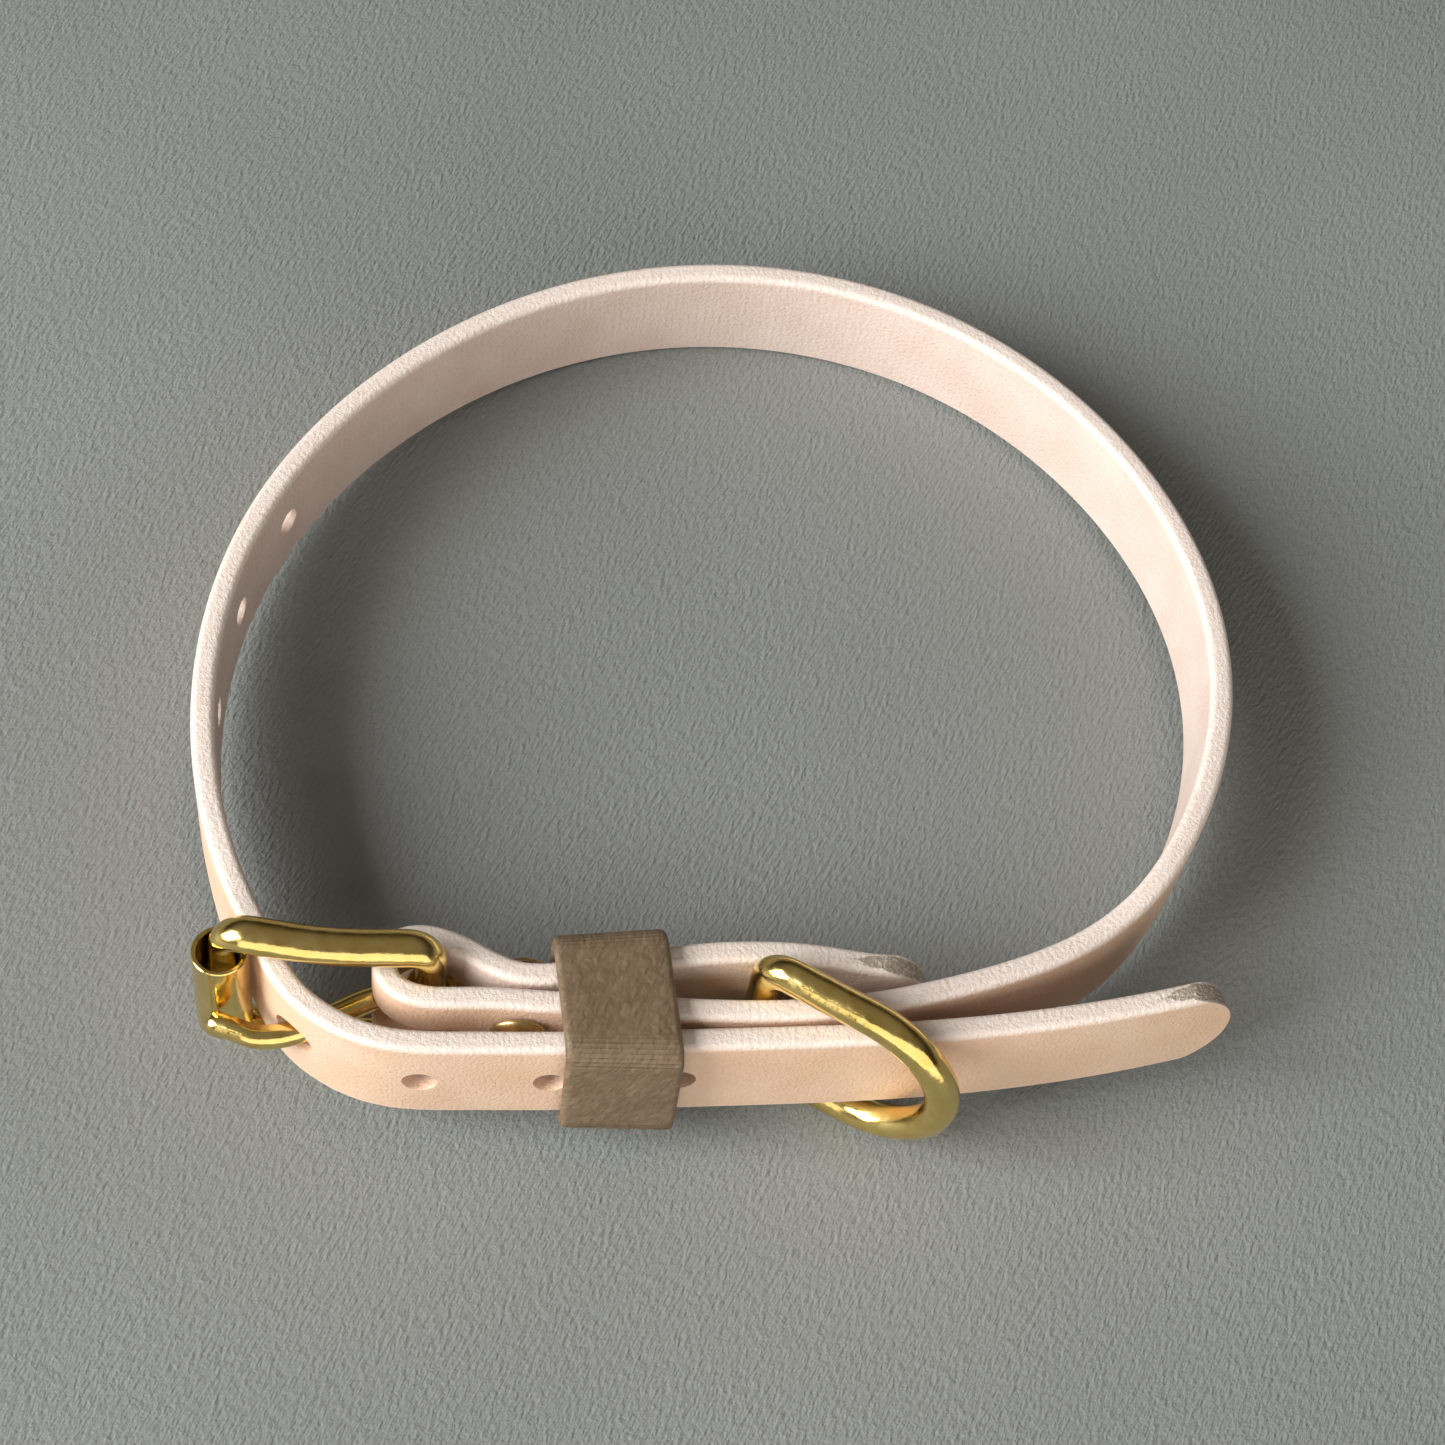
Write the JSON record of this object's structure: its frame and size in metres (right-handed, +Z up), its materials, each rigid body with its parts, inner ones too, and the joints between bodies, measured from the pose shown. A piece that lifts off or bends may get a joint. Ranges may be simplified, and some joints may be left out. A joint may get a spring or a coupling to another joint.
{
  "type": "dog collar",
  "caption": "Buckled collar in pale coated webbing with a leather-look keeper, roller buckle and D-ring, fastened and standing on its edge.",
  "frame": {"origin": "centre of the collar's box, on the surface that it stands on", "axes": "+X along the doubled front towards the free tip, +Y from the front to the far side, +Z up through the neck hollow"},
  "size_m": [0.1322, 0.1226, 0.0276],
  "materials": {
    "coated_webbing": "satin, fine pebble grain",
    "keeper_leather": "matt, wrinkled grain",
    "gold_metal": "polished plating"
  },
  "bodies": {
    "collar": {"strap": "coated_webbing", "keeper": "keeper_leather", "buckle_frame": "gold_metal", "prong": "gold_metal", "rivet": "gold_metal", "end_rivet": "gold_metal"},
    "roller": {"roller": "gold_metal"},
    "d_ring": {"d_ring": "gold_metal"}
  },
  "joints": [
    {"name": "roller_spin", "type": "hinge", "parent": "collar", "child": "roller", "pos_m": [-0.0591, -0.04765, 0.01375], "axis": [0, 0.1253, 0.9921], "continuous": true},
    {"name": "d_ring_swing", "type": "hinge", "parent": "collar", "child": "d_ring", "pos_m": [0.0059, -0.04747, 0.01332], "axis": [0, 0.1253, 0.9921], "range_deg": [-95, 0]}
  ]
}
